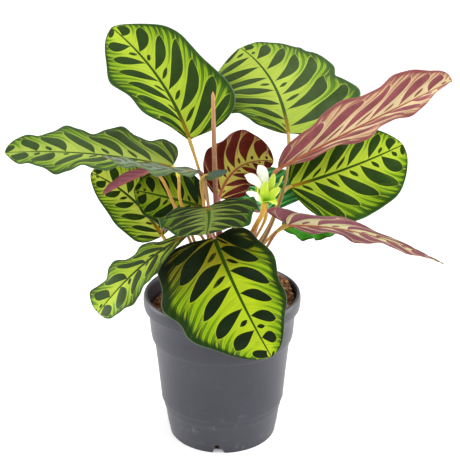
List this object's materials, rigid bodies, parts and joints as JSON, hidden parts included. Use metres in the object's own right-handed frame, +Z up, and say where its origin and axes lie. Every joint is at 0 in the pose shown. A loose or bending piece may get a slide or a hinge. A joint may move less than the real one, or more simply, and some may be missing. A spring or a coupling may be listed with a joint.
{
  "type": "potted calathea",
  "caption": "Calathea house plant with patterned oval leaves on slender stalks and a small white flower, growing in soil in a round plastic nursery pot.",
  "frame": {"origin": "centre of the underside of the pot, on the surface it stands on", "axes": "+Z up along the axis of the pot, -Y towards the front, the side from which most leaves show their upper face and over whose rim the front leaf hangs, +X to the right seen from the front"},
  "size_m": [0.3185, 0.1823, 0.3136],
  "materials": {
    "pot": "satin dark grey moulded plastic",
    "soil": "rough coconut fibre and peat, brown",
    "crown": "matt brown root stock",
    "leaf": "satin lime green leaf with dark green blotches",
    "leaf_dark": "satin dark green leaf",
    "leaf_mauve": "satin mauve underside of a leaf",
    "stalk": "satin tan to reddish brown stalk",
    "new_growth": "satin pinkish tan young growth",
    "bract": "soft pale yellow green bract",
    "petal": "soft white petal"
  },
  "bodies": {
    "root": {"pot": "pot", "soil": "soil", "crown": "crown", "leaf_upper_left": "leaf", "leaf_upper_right": "leaf", "leaf_far_right": "leaf_mauve", "leaf_right": "leaf", "leaf_back": "leaf", "leaf_lower_right": "leaf_mauve", "leaf_back_right": "leaf_dark", "leaf_centre": "leaf_mauve", "leaf_far_left": "leaf", "leaf_left": "leaf", "leaf_inner_left": "leaf_dark", "leaf_inner_front": "leaf_dark", "leaf_front": "leaf", "leaf_lower_left": "leaf", "leaf_side_left": "leaf_dark", "leaf_young_left": "leaf_mauve", "leaf_small": "leaf_dark", "stalk_upper_left": "stalk", "stalk_upper_right": "stalk", "stalk_far_right": "new_growth", "stalk_right": "stalk", "stalk_back": "stalk", "stalk_lower_right": "stalk", "stalk_back_right": "stalk", "stalk_centre": "stalk", "stalk_far_left": "stalk", "stalk_left": "stalk", "stalk_inner_left": "stalk", "stalk_inner_front": "stalk", "stalk_front": "stalk", "stalk_lower_left": "stalk", "stalk_side_left": "stalk", "stalk_young_left": "stalk", "stalk_small": "stalk", "new_leaf_stalk": "new_growth", "rolled_leaf": "new_growth", "flower_stalk": "stalk", "bract_1": "bract", "bract_2": "bract", "bract_3": "bract", "bract_4": "bract", "petal_1": "petal", "petal_2": "petal", "petal_3": "petal"}
  },
  "joints": []
}
